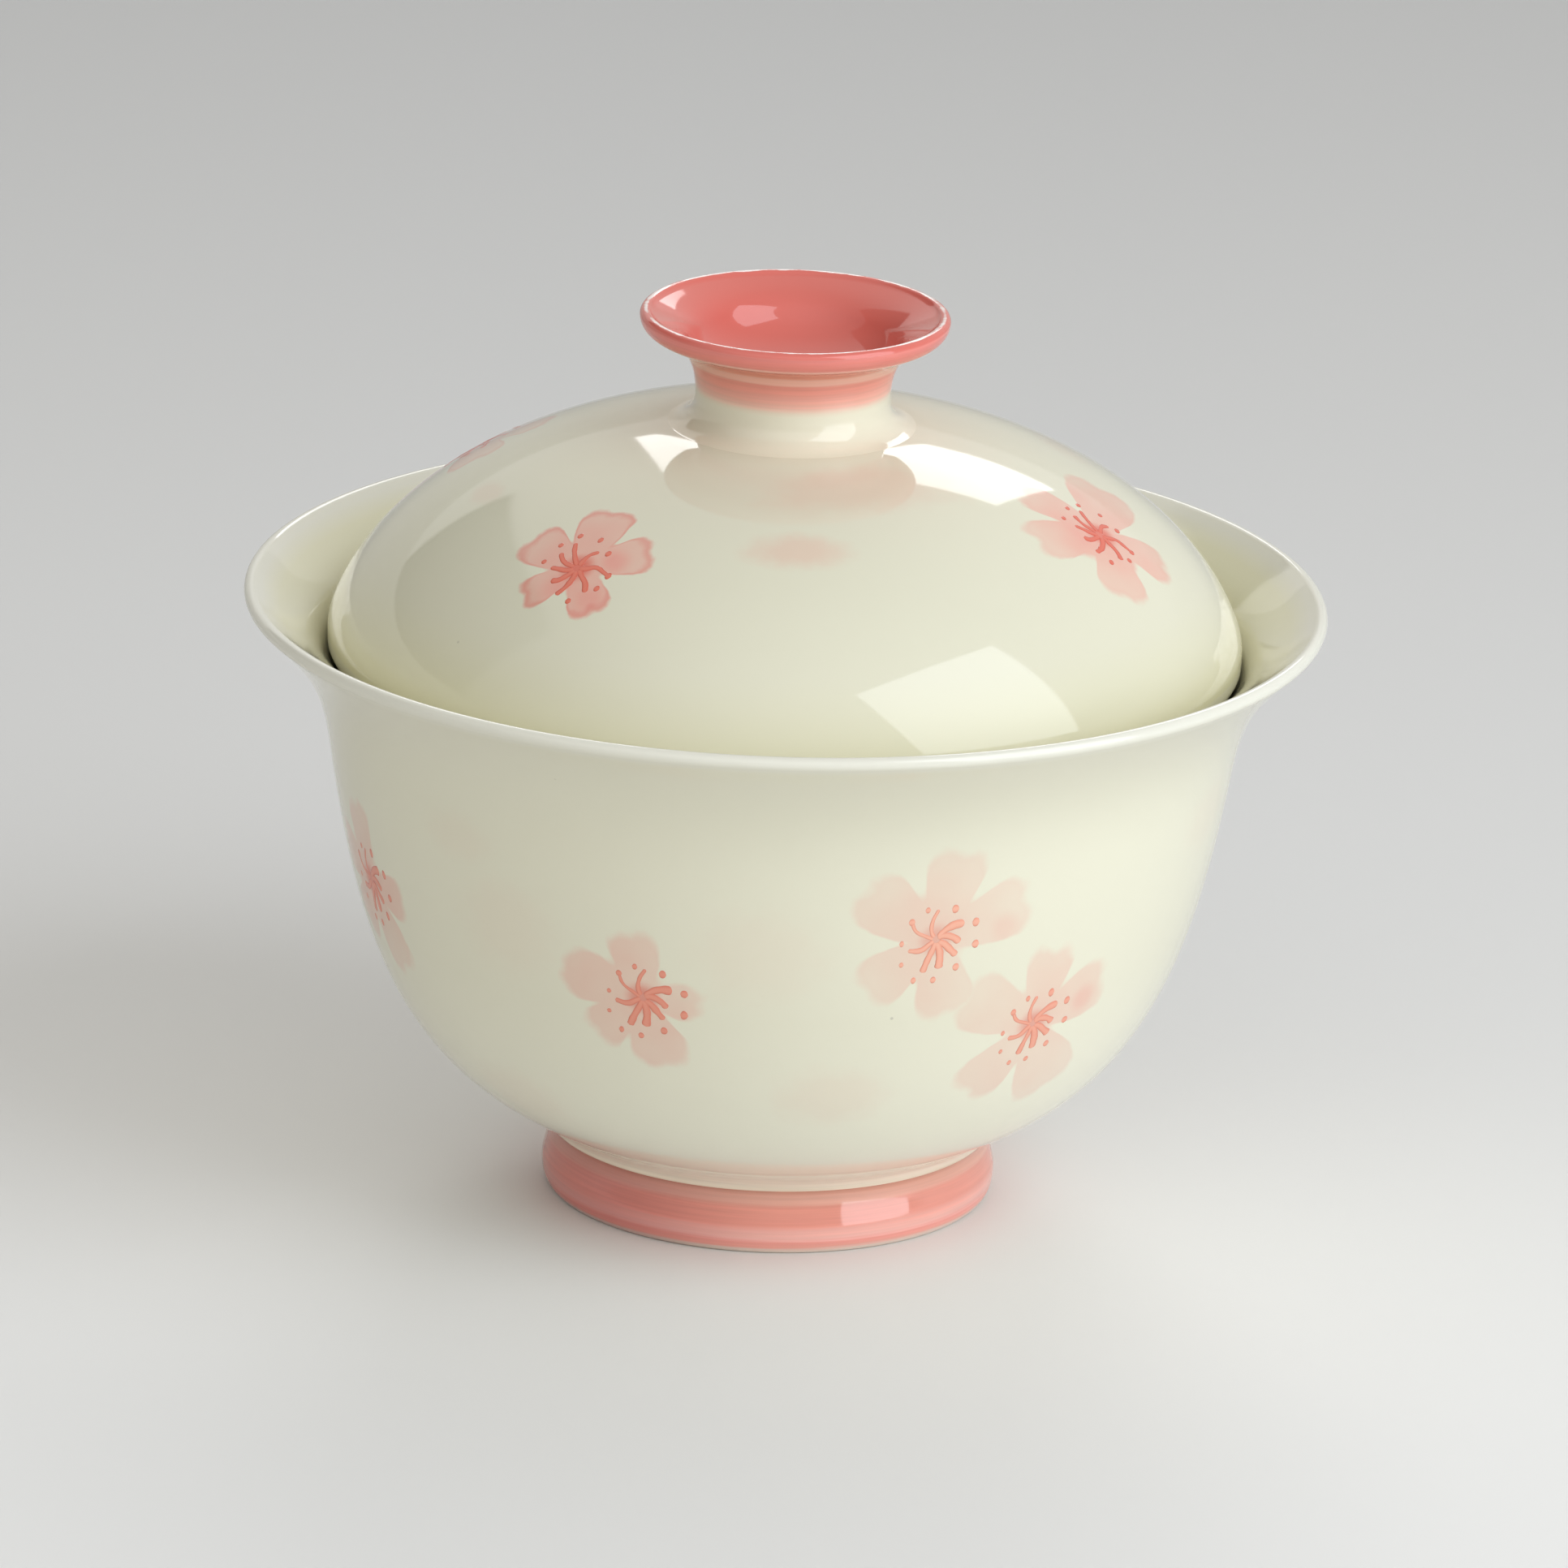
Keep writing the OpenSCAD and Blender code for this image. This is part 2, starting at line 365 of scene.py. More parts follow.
    paints = [(haze, "#E2A694"), (wash, "#E79A8C"), (rim, "#DC7468"), (hub, "#DB6854")]
    # Painted light: below 30 mm the wall is painted paler, up to three quarters of the way to #F6F4E2 at 9
    # mm, for the bright table that the lower wall reflects and is lit by.
    height = add(tree, "ShaderNodeSeparateXYZ", {0: here}).outputs["Z"]
    pale = add(tree, "ShaderNodeMapRange",
               {"Value": height, 1: 30 * MM, 2: 9 * MM, 3: 0.0, 4: 0.75}).outputs[0]
    colour = add(tree, "ShaderNodeMix", {0: pale, 6: paint(body), 7: paint("#F6F4E2")},
                 data_type="RGBA").outputs[2]
    # Painted shade: near the seat, upward faces where the lid's edge and the inside of the flare face each
    # other are painted a darker olive yellow. It stands for the shade and the yellow bounced light in the
    # gap between the parts.
    facing_up = add(tree, "ShaderNodeNewGeometry").outputs["Normal"]
    facing_up = add(tree, "ShaderNodeSeparateXYZ", {0: facing_up}).outputs["Z"]
    facing_up = add(tree, "ShaderNodeMath", {0: facing_up, 1: 0.0}, operation="GREATER_THAN").outputs[0]
    painted_crevice_shade = add(tree, "ShaderNodeMapRange",
                {"Value": height, 1: 64 * MM, 2: 54 * MM, 3: 0.0, 4: 0.5}).outputs[0]
    deep = add(tree, "ShaderNodeMapRange",
               {"Value": height, 1: 46 * MM, 2: 50 * MM, 3: 0.0, 4: facing_up}).outputs[0]
    painted_crevice_shade = add(tree, "ShaderNodeMath", {0: painted_crevice_shade, 1: deep}, operation="MULTIPLY").outputs[0]
    colour = add(tree, "ShaderNodeMix", {0: painted_crevice_shade, 6: colour, 7: paint("#DDD8AC")},
                 data_type="RGBA").outputs[2]
    for amount, pigment in paints:
        colour = add(tree, "ShaderNodeMix", {0: amount, 6: colour, 7: paint(pigment)},
                     data_type="RGBA").outputs[2]
    # Iron specks: one cell in four of an 11 mm cell pattern holds a grey speck about 0.3 mm across.
    cells = add(tree, "ShaderNodeTexVoronoi", {"Vector": here, "Scale": 90.0}).outputs
    lucky = add(tree, "ShaderNodeSeparateColor", {0: cells["Color"]}).outputs[0]
    lucky = add(tree, "ShaderNodeMath", {0: lucky, 1: 0.25}, operation="LESS_THAN").outputs[0]
    speck = add(tree, "ShaderNodeMapRange",
                {"Value": cells["Distance"], 1: 0.018, 2: 0.01, 3: 0.0, 4: lucky}).outputs[0]
    speck = add(tree, "ShaderNodeMath", {0: speck, 1: 0.35}, operation="MULTIPLY").outputs[0]
    colour = add(tree, "ShaderNodeMix", {0: speck, 6: colour, 7: paint("#8A8478")},
                 data_type="RGBA").outputs[2]
    # Throwing leaves the surface 0.05 mm wavy over 16 mm, and the fired glaze has a finer orange peel.
    swell = add(tree, "ShaderNodeTexNoise", {"Vector": here, "Scale": 62.0, "Detail": 0.0}).outputs["Fac"]
    peel = add(tree, "ShaderNodeTexNoise", {"Vector": here, "Scale": 700.0, "Detail": 0.0}).outputs["Fac"]
    swell = add(tree, "ShaderNodeMath", {0: swell, 1: 0.05}, operation="MULTIPLY").outputs[0]
    relief = add(tree, "ShaderNodeMath", {0: peel, 1: 0.0012, 2: swell},
                 operation="MULTIPLY_ADD").outputs[0]
    relief = add(tree, "ShaderNodeBump", {"Strength": 1.0, "Distance": MM, "Height": relief}).outputs[0]
    tree.links.new(colour, shader["Base Color"])
    tree.links.new(relief, shader["Normal"])
    shader["Roughness"].default_value = 0.055
    shader["IOR"].default_value = GLAZE_IOR
    return material, colour


def brushed_bands(tree, here, stops, drift=0.9):
    """Colour by height, through stops in millimetres, with the fine level streaks that a brush leaves
    on a turning wheel: 0.4 mm high and some 20 mm long."""
    streak = add(tree, "ShaderNodeMapping", {"Vector": here, "Scale": (45.0, 45.0, 2400.0)}).outputs[0]
    streak = add(tree, "ShaderNodeTexNoise",
                 {"Vector": streak, "Scale": 1.0, "Detail": 3.0, "Roughness": 0.6})
    streak = streak.outputs["Fac"]
    height = add(tree, "ShaderNodeSeparateXYZ", {0: here}).outputs["Z"]
    height = add(tree, "ShaderNodeMath", {0: height, 1: 1 / MM, 2: -0.5 * drift},
                 operation="MULTIPLY_ADD").outputs[0]
    height = add(tree, "ShaderNodeMath", {0: streak, 1: drift, 2: height},
                 operation="MULTIPLY_ADD").outputs[0]
    low, high = stops[0][0], stops[-1][0]
    level = add(tree, "ShaderNodeMapRange", {"Value": height, 1: low, 2: high}).outputs[0]
    ramp = add(tree, "ShaderNodeValToRGB", {"Fac": level})
    steps = ramp.color_ramp.elements
    steps[0].position, steps[0].color = 0.0, paint(stops[0][1])
    steps[-1].position, steps[-1].color = 1.0, paint(stops[-1][1])
    for z, tint in stops[1:-1]:
        steps.new((z - low) / (high - low)).color = paint(tint)
    wear = add(tree, "ShaderNodeMapRange", {"Value": streak, 1: 0.3, 2: 0.7, 3: 0.91, 4: 1.07}).outputs[0]
    return add(tree, "ShaderNodeHueSaturation", {"Value": wear, "Color": ramp.outputs[0]}).outputs[0]


# Petals are (angle from level, length in mm), as they lie in each blossom on the outside of the wall.
# A blossom sits at an azimuth in degrees and a height in mm. Its wash, rim and hub are paint strengths,
# soft is half the width of its edge in mm, and blots are (x, y, strength) of wetter spots.
wide_open = [(77, 9.5), (19, 9.9), (284, 8.8), (219, 8.4), (143, 9.3)]
leaning = [(85, 8.4), (21, 9.0), (299, 10.9), (235, 9.2), (153, 9.7)]
small = [(98, 6.9), (359, 5.6), (283, 7.9), (222, 7.1), (168, 8.3)]
on_edge = [(97, 8.1), (356, 7.1), (297, 9.3), (230, 8.0), (165, 8.0)]
bowl_blossoms = [
    dict(azimuth=20.8, height=38.8, petals=wide_open, turn=0, wash=0.30, tone=0.15,
         blots=[(7.2, 0.4, 0.14)]),
    dict(azimuth=38.2, height=27.8, petals=leaning, turn=5, wash=0.30, tone=0.35, blots=[(6.1, 1.5, 0.16)]),
    dict(azimuth=-17.4, height=31.8, petals=small, turn=-8, wash=0.36, tone=0.52, join=0.7, blots=[]),
    dict(azimuth=-68.0, height=34.8, petals=on_edge, turn=4, wash=0.38, tone=0.6, blots=[]),
    dict(azimuth=100, height=33.0, petals=small, turn=60, wash=0.32, tone=0.4, blots=[]),
    dict(azimuth=128, height=27.5, petals=leaning, turn=-20, wash=0.30, tone=0.3, blots=[]),
    dict(azimuth=176, height=37.0, petals=wide_open, turn=35, wash=0.30, tone=0.2, blots=[]),
    dict(azimuth=-155, height=29.0, petals=on_edge, turn=10, wash=0.34, tone=0.5, blots=[]),
    dict(azimuth=-110, height=27.5, petals=small, turn=-30, wash=0.32, tone=0.5, blots=[]),
]
for blossom in bowl_blossoms:
    blossom.update(rim=0.03, hub=0.3 + 0.65 * blossom["tone"], soft=0.75)
# Smudges of washed-out rose, as (azimuth, height, half width, half height, strength).
bowl_smudges = [
    (9, 21.5, 6.5, 4.5, 0.11), (-44, 16.5, 7, 5, 0.08), (-37, 36.7, 7, 6, 0.07), (-2, 37.3, 8, 6, 0.07),
    (-44, 44.8, 5, 3, 0.06), (70, 44.0, 6, 4, 0.06), (150, 40.0, 8, 5, 0.08), (-130, 40.0, 7, 5, 0.07),
]
bowl_glaze, colour = ivory_glaze("bowl_ivory_glaze", bowl_wall, "#E5E2CC", bowl_blossoms, bowl_smudges)
tree = bowl_glaze.node_tree
here = add(tree, "ShaderNodeTexCoord").outputs["Object"]
part = add(tree, "ShaderNodeSeparateXYZ", {0: here}).outputs
spread = add(tree, "ShaderNodeVectorMath", {0: here, 1: (1, 1, 0)}, operation="MULTIPLY").outputs[0]
spread = add(tree, "ShaderNodeVectorMath", {0: spread}, operation="LENGTH").outputs["Value"]
# Peach wash carried up from the foot over the last 4 mm of the wall, with an olive line of pooled
# glaze in the joint.
peach = brushed_bands(tree, here, [
    (6.2, "#DDBF9F"), (6.6, "#F3E3CD"), (7.2, "#F5E7D3"), (8.4, "#F5EBDA"), (9.2, "#F5EFDD"),
    (10.0, "#F4F1DF")])
beyond = add(tree, "ShaderNodeMath", {0: spread, 1: 20.5 * MM}, operation="GREATER_THAN").outputs[0]
low_down = add(tree, "ShaderNodeMapRange",
               {"Value": part["Z"], 1: 10.4 * MM, 2: 9.8 * MM, 3: 0.0, 4: beyond}).outputs[0]
colour = add(tree, "ShaderNodeMix", {0: low_down, 6: colour, 7: peach}, data_type="RGBA").outputs[2]
# The glaze draws thin over the crest of the lip, which fires whiter. The band is also painted whiter as a
# painted highlight for the light that the rounded lip catches.
crest_glaze_and_highlight = add(tree, "ShaderNodeMapRange", {"Value": part["Z"], 1: (bowl_h - 1.9) * MM,
                                         2: (bowl_h - 0.6) * MM}).outputs[0]
colour = add(tree, "ShaderNodeMix", {0: crest_glaze_and_highlight, 6: colour, 7: paint("#E5E3D6")}, data_type="RGBA").outputs[2]
tree.links.new(colour, tree.nodes["Principled BSDF"].inputs["Base Color"])

bowl_body = thrown_piece("bowl_body_glazed", bowl_profile, bowl_glaze)
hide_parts("bowl_body")
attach(bowl_body, "bowl")

# ---- Stamens painted on the bowl -------------------------------------------------------------------
# Each blossom has eight fine strokes that spray from its heart and ten dots round them, laid on with
# a pointed brush in thick rose colour, so that they stand slightly proud and dry darker at the edge.
# The strokes are drawn once in millimetres, as (half-widths, points), and stamped at every blossom.
bowl_strokes = [
    ((0.16, 0.15), [(-0.3, 0.1), (-0.9, 0.4), (-2.1, 1.1), (-2.6, 2.1)]),
    ((0.20, 0.15), [(-0.2, 0.3), (-0.5, 0.9), (-0.5, 2.1), (0.0, 3.3)]),
    ((0.20, 0.42), [(0.2, 0.3), (0.5, 0.7), (1.6, 1.4), (2.8, 1.6)]),
    ((0.26, 0.33), [(0.2, 0.2), (0.8, 0.4), (1.8, 0.1), (2.5, -0.5)]),
    ((0.26, 0.32), [(0.3, -0.2), (0.9, -0.5), (1.6, -1.2), (2.3, -1.9)]),
    ((0.26, 0.35), [(0.1, -0.3), (0.4, -0.9), (0.6, -1.8), (0.6, -3.2)]),
    ((0.24, 0.29), [(0.0, -0.3), (-0.2, -1.0), (-0.6, -2.1), (-1.0, -3.5)]),
    ((0.22, 0.24), [(-0.2, -0.1), (-0.6, -0.4), (-1.4, -1.0), (-2.7, -1.0)]),
]
bowl_dots = [
    (-2.6, 2.1, 0.32), (-1.1, 3.3, 0.27), (1.7, 3.2, 0.36), (4.0, 1.5, 0.38), (4.2, -0.9, 0.38),
    (2.4, -3.2, 0.35), (0.2, -4.4, 0.30), (-1.8, -4.3, 0.27), (-3.2, -2.5, 0.24), (-3.4, -0.2, 0.24),
]


def brush_template(name, strokes, dots):
    """Curves for one blossom. A dot is a stroke as long as it is wide, which its round ends close."""
    drawing = bpy.data.curves.new(name, "CURVE")
    drawing.dimensions = "3D"
    drawing.resolution_u = 8
    for widths, points in strokes:
        line = drawing.splines.new("BEZIER")
        line.bezier_points.add(len(points) - 1)
        for i, (x, y) in enumerate(points):
            knot = line.bezier_points[i]
            knot.co = (x * MM, y * MM, 0)
            knot.handle_left_type = knot.handle_right_type = "AUTO"
            knot.radius = MM * (widths[0] + (widths[1] - widths[0]) * i / (len(points) - 1))
    for x, y, radius in dots:
        line = drawing.splines.new("POLY")
        line.points.add(1)
        for knot, side in zip(line.points, (-1, 1)):
            knot.co = ((x + side * radius) * MM, y * MM, 0, 1)
            knot.radius = radius * MM
    template = bpy.data.objects.new(name, drawing)
    bpy.context.scene.collection.objects.link(template)
    return template


# The brush: stamps the template at each blossom, lays its lines on the nearest wall, rounds their ends
# and sweeps a low lens-shaped ridge along them.
brush, given, result = geometry_tree("pointed_brush", [
    ("Template", "NodeSocketObject"), ("Wall", "NodeSocketObject"), ("Step", "NodeSocketFloat"),
    ("Lift", "NodeSocketFloat"), ("Seed", "NodeSocketFloat"), ("Colour", "NodeSocketMaterial")])
template = add(brush, "GeometryNodeObjectInfo", {"Object": given["Template"]}).outputs["Geometry"]
wall = add(brush, "GeometryNodeObjectInfo", {"Object": given["Wall"]}).outputs["Geometry"]
facing = add(brush, "GeometryNodeInputNamedAttribute", {"Name": "facing"},
             data_type="FLOAT_VECTOR").outputs[0]
facing = add(brush, "FunctionNodeEulerToRotation", {0: facing}).outputs[0]
lines = add(brush, "GeometryNodeInstanceOnPoints", {
    "Points": given["Geometry"], "Instance": template, "Rotation": facing}).outputs[0]
lines = add(brush, "GeometryNodeRealizeInstances", {"Geometry": lines}).outputs[0]
lines = add(brush, "GeometryNodeResampleCurve", {"Curve": lines, "Length": given["Step"]},
            mode="LENGTH").outputs[0]
near = add(brush, "GeometryNodeProximity", {"Geometry": wall}, target_element="FACES").outputs["Position"]
level = add(brush, "GeometryNodeInputNormal").outputs["Normal"]
level = add(brush, "GeometryNodeSampleNearestSurface", {"Mesh": wall, "Value": level},
            data_type="FLOAT_VECTOR").outputs[0]
lift = add(brush, "ShaderNodeVectorMath", {0: level, "Scale": given["Lift"]}, operation="SCALE").outputs[0]
lines = add(brush, "GeometryNodeSetPosition",
            {"Geometry": lines, "Position": near, "Offset": lift}).outputs[0]
lines = add(brush, "GeometryNodeSetCurveNormal", {"Curve": lines, "Normal": level}, mode="FREE").outputs[0]
radius = add(brush, "GeometryNodeInputRadius").outputs[0]
passed = add(brush, "GeometryNodeSplineParameter").outputs["Length"]
whole = add(brush, "GeometryNodeSplineLength").outputs["Length"]
left = add(brush, "ShaderNodeMath", {0: whole, 1: passed}, operation="SUBTRACT").outputs[0]
left = add(brush, "ShaderNodeMath", {0: left, 1: passed}, operation="MINIMUM").outputs[0]
left = add(brush, "ShaderNodeMath", {0: left, 1: radius}, operation="DIVIDE", use_clamp=True).outputs[0]
bend = add(brush, "ShaderNodeMath", {0: 2.0, 1: left}, operation="SUBTRACT").outputs[0]
bend = add(brush, "ShaderNodeMath", {0: bend, 1: left}, operation="MULTIPLY").outputs[0]
bend = add(brush, "ShaderNodeMath", {0: bend, 1: 0.5}, operation="POWER").outputs[0]
bend = add(brush, "ShaderNodeMath", {0: bend, 1: 0.12}, operation="MAXIMUM").outputs[0]
shaky = add(brush, "ShaderNodeTexNoise", {"W": given["Seed"], "Scale": 1100.0, "Detail": 1.0},
            noise_dimensions="4D").outputs["Fac"]
shaky = add(brush, "ShaderNodeMapRange", {"Value": shaky, 1: 0.25, 2: 0.75, 3: 0.78, 4: 1.22}).outputs[0]
radius = add(brush, "ShaderNodeMath", {0: radius, 1: bend}, operation="MULTIPLY").outputs[0]
radius = add(brush, "ShaderNodeMath", {0: radius, 1: shaky}, operation="MULTIPLY").outputs[0]
lines = add(brush, "GeometryNodeSetCurveRadius", {"Curve": lines, "Radius": radius}).outputs[0]
lens = add(brush, "GeometryNodeCurvePrimitiveCircle", {"Resolution": 12, "Radius": 1.0}).outputs[0]
spot = add(brush, "GeometryNodeInputPosition").outputs[0]
across = add(brush, "ShaderNodeSeparateXYZ", {0: spot}).outputs["Y"]
lens = add(brush, "GeometryNodeStoreNamedAttribute", {"Geometry": lens, "Name": "across", "Value": across},
           data_type="FLOAT", domain="POINT").outputs[0]
spot = add(brush, "ShaderNodeVectorMath", {0: spot, 1: (0.07, 1.2, 1.0)}, operation="MULTIPLY").outputs[0]
lens = add(brush, "GeometryNodeSetPosition", {"Geometry": lens, "Position": spot}).outputs[0]
strokes = add(brush, "GeometryNodeCurveToMesh", {
    "Curve": lines, "Profile Curve": lens, "Scale": add(brush, "GeometryNodeInputRadius").outputs[0],
    "Fill Caps": True}).outputs[0]
strokes = add(brush, "GeometryNodeRealizeInstances", {"Geometry": strokes}).outputs[0]
strokes = add(brush, "GeometryNodeSetMaterial",
              {"Geometry": strokes, "Material": given["Colour"]}).outputs[0]
brush.links.new(strokes, result["Geometry"])


def rose_strokes():
    """Thick rose colour fired into the glaze: pale and watery in the middle, darker where it dried last."""
    material, tree, shader = new_material("rose_brush_strokes")
    across = add(tree, "ShaderNodeAttribute", {}, attribute_name="across").outputs["Fac"]
    tone = add(tree, "ShaderNodeAttribute", {}, attribute_name="tone").outputs["Fac"]
    across = add(tree, "ShaderNodeMath", {0: across}, operation="ABSOLUTE").outputs[0]
    across = add(tree, "ShaderNodeMapRange", {"Value": across, 1: 0.35, 2: 0.85}).outputs[0]
    middle = add(tree, "ShaderNodeMix", {0: tone, 6: paint("#F4B99F"), 7: paint("#DE6E59")},
                 data_type="RGBA").outputs[2]
    border = add(tree, "ShaderNodeMix", {0: tone, 6: paint("#EEA389"), 7: paint("#D65E4B")},
                 data_type="RGBA").outputs[2]
    colour = add(tree, "ShaderNodeMix", {0: across, 6: middle, 7: border}, data_type="RGBA").outputs[2]
    tree.links.new(colour, shader["Base Color"])
    shader["Roughness"].default_value = 0.12
    shader["IOR"].default_value = GLAZE_IOR
    return material


stroke_colour = rose_strokes()


def painted_stamens(name, template, blossoms, outline, wall, seed):
    """Stamps a brush template on a wall at the heart of every blossom."""
    hearts = bpy.data.meshes.new(name + "_hearts")
    places, facings, tones = [], [], []
    for blossom in blossoms:
        place, facing = on_wall(outline, blossom["azimuth"], blossom["height"])
        spin = Matrix.Rotation(math.radians(blossom["turn"]), 3, "Z")
        places.append(place * MM)
        facings.extend((facing.to_matrix() @ spin).to_euler())
        tones.append(blossom["tone"])
    hearts.from_pydata(places, [], [])
    hearts.attributes.new("facing", "FLOAT_VECTOR", "POINT").data.foreach_set("vector", facings)
    hearts.attributes.new("tone", "FLOAT", "POINT").data.foreach_set("value", tones)
    piece = run_tree(name, hearts, brush, {
        "Template": template, "Wall": wall, "Step": 0.11 * MM, "Lift": 0.004 * MM, "Seed": seed,
        "Colour": stroke_colour})
    bpy.data.objects.remove(template)
    return piece


bowl_stamens = painted_stamens("bowl_painted_stamens",
                               brush_template("bowl_brushwork", bowl_strokes, bowl_dots),
                               bowl_blossoms, bowl_wall, bowl_body, 3.0)
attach(bowl_stamens, "bowl")

# ---- Foot ring -------------------------------------------------------------------------------------
# A short ring of porcelain that bulges near the table, turned with the bowl upside down. Its rose
# underglaze is banded on the wheel, and its narrow contact face is wiped bare before firing.
foot_t = 3.6
contact_out = foot_r - 0.85
contact_in = foot_r - foot_t + 0.4
bulge = point(foot_r, 2)
foot_profile = (
    [point(contact_in, 0)]
    + curve(point(contact_out, 0), point(contact_out + 0.5, 0.1), bulge - point(0, 1), bulge, 8)
    + curve(bulge, bulge + point(0, 0.4), point(foot_r - 0.01, 2.6), point(foot_r - 0.07, 2.9), 6)
    + curve(point(foot_r - 0.07, 2.9), point(foot_r - 0.48, 4.66), point(foot_r - 0.9, 6.1), root, 10)
    + [root, point(root.x - foot_t - 0.6, foot_h)]
    + curve(point(root.x - foot_t - 0.4, foot_h - 1), point(root.x - foot_t, foot_h - 3),
            point(contact_in - 0.35, 1), point(contact_in, 0), 6)
    + [point(contact_in, 0)]
)


def rose_glaze(name, stops):
    """Rose underglaze, banded on the wheel, under the same clear glaze. The eye sees level brush streaks
    of deeper and paler rose. Gives back the material, its tree, its place and its colour."""
    material, tree, shader = new_material(name)
    here = add(tree, "ShaderNodeTexCoord").outputs["Object"]
    colour = brushed_bands(tree, here, stops)
    swell = add(tree, "ShaderNodeTexNoise", {"Vector": here, "Scale": 110.0, "Detail": 0.0}).outputs["Fac"]
    swell = add(tree, "ShaderNodeMath", {0: swell, 1: 0.03}, operation="MULTIPLY").outputs[0]
    relief = add(tree, "ShaderNodeBump", {"Strength": 1.0, "Distance": MM, "Height": swell}).outputs[0]
    tree.links.new(relief, shader["Normal"])
    shader["Roughness"].default_value = 0.07
    shader["IOR"].default_value = GLAZE_IOR
    return material, tree, shader, here, colour


foot_glaze, tree, shader, here, colour = rose_glaze("foot_rose_glaze", [
    (0.0, "#E6D8C6"), (0.35, "#EAD5C6"), (0.7, "#EFA595"), (1.2, "#F09B8E"), (1.7, "#F3B4A8"),
    (2.4, "#F0AC9F"), (3.0, "#EC9887"), (4.6, "#EC9A88"), (5.1, "#E8A995"), (5.9, "#E3A48F"),
    (6.1, "#D8967F"), (6.4, "#CF8C74")])
# Inside the ring the clear glaze lies on bare ivory, and the narrow contact face is dry and matt.
spread = add(tree, "ShaderNodeVectorMath", {0: here, 1: (1, 1, 0)}, operation="MULTIPLY").outputs[0]
spread = add(tree, "ShaderNodeVectorMath", {0: spread}, operation="LENGTH").outputs["Value"]
within = add(tree, "ShaderNodeMath", {0: spread, 1: (contact_in + 0.3) * MM},
             operation="LESS_THAN").outputs[0]
colour = add(tree, "ShaderNodeMix", {0: within, 6: colour, 7: paint("#E8E5CF")},
             data_type="RGBA").outputs[2]
# Painted shade: the left of the ring, turned from the light, is multiplied towards #E6CFD3, starting 2 mm
# right of the middle and at full strength 16 mm left of it.
painted_left_shade = add(tree, "ShaderNodeSeparateXYZ", {0: here}).outputs["X"]
painted_left_shade = add(tree, "ShaderNodeMapRange", {"Value": painted_left_shade, 1: 2 * MM, 2: -16 * MM},
              interpolation_type="SMOOTHSTEP").outputs[0]
colour = add(tree, "ShaderNodeMix", {0: painted_left_shade, 6: colour, 7: paint("#E6CFD3")}, data_type="RGBA",
             blend_type="MULTIPLY").outputs[2]
tree.links.new(colour, shader["Base Color"])
shader["IOR"].default_value = 1.72      # a thicker coat that shines more than the rest
height = add(tree, "ShaderNodeSeparateXYZ", {0: here}).outputs["Z"]
dry = add(tree, "ShaderNodeMapRange", {"Value": height, 1: 0.3 * MM, 2: 0.1 * MM, 3: 0.07,
                                       4: 0.65}).outputs[0]
tree.links.new(dry, shader["Roughness"])
foot_ring = thrown_piece("foot_ring_glazed", foot_profile, foot_glaze)
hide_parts("foot_ring")
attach(foot_ring, "bowl")

# ---- Lid dome --------------------------------------------------------------------------------------
# A low thrown dome with a thick rounded edge, which rests inside the flare of the bowl. It is
# glazed all over like the bowl.
lid_r = corner("lid_dome", HIGH).x
crown_z = corner("lid_dome", HIGH).z
lid_t = 2.6
crown_r, crown_angle = 12.0, -8.0
edge_r = lid_t / 2
seat_z = corner("lid_dome", LOW).z + edge_r
crown = point(crown_r, crown_z)
edge_top = point(lid_r, seat_z + 1.3)
dome_outside = curve(edge_top, edge_top + point(0, 2.8), along(crown, crown_angle, 26), crown, 40) + [crown]
dome_inside = inner_face(dome_outside, lambda height: lid_t)
crown_under = dome_inside[0].y - crown_r / 2 * math.tan(math.radians(crown_angle))
under_middle = curve(dome_inside[0], point(crown_r / 2, crown_under), point(crown_r / 4, crown_under),
                     point(0, crown_under), 8)
lid_profile = (
    [point(0, crown_z)] + dome_outside[::-1]
    + arc(point(lid_r - edge_r, seat_z), edge_r, 360, 180, 16)
    + dome_inside[::-1][1:-1] + under_middle + [point(0, crown_under)]
)
outlined = [(99, 8.4), (36, 7.5), (316, 6.4), (232, 6.0), (163, 7.6)]
slim = [(22, 11.5), (304, 8.1), (229, 8.8), (156, 9.3), (103, 8.5)]
lid_blossoms = [
    dict(azimuth=-37, height=70.25, petals=outlined, turn=0, wash=0.56, rim=0.42, hub=0.85, soft=0.35,
         tone=0.85, blots=[(3.2, 1.9, 0.25), (3.3, -3.0, 0.16), (-1.0, -2.9, 0.16)]),
    dict(azimuth=68.5, height=70.8, petals=slim, turn=-66, wash=0.58, rim=0.06, hub=0.85, soft=0.6,
         tone=1.0, blots=[]),
    dict(azimuth=-112, height=70.5, petals=leaning, turn=30, wash=0.40, rim=0.2, hub=0.75, soft=0.5,
         tone=0.9, blots=[]),
    dict(azimuth=168, height=70.3, petals=outlined, turn=100, wash=0.48, rim=0.3, hub=0.75, soft=0.4,
         tone=1.0, blots=[]),
]
lid_smudges = [(2, 73.1, 5.6, 2.8, 0.36), (22, 76.3, 12, 4.8, 0.2), (-74, 71.9, 3.2, 2.0, 0.16),
               (110, 73.0, 6, 3, 0.12), (-165, 75.0, 7, 3, 0.12)]
# The lid's ivory, #DEDBC5, is a darker copy of the bowl's #E5E2CC. This is painted shade that tones down
# the lid, which faces the light from above.
lid_glaze, colour = ivory_glaze("lid_ivory_glaze", dome_outside, "#DEDBC5", lid_blossoms, lid_smudges)
lid_dome = thrown_piece("lid_dome_glazed", lid_profile, lid_glaze)
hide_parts("lid_dome")
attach(lid_dome, "lid")

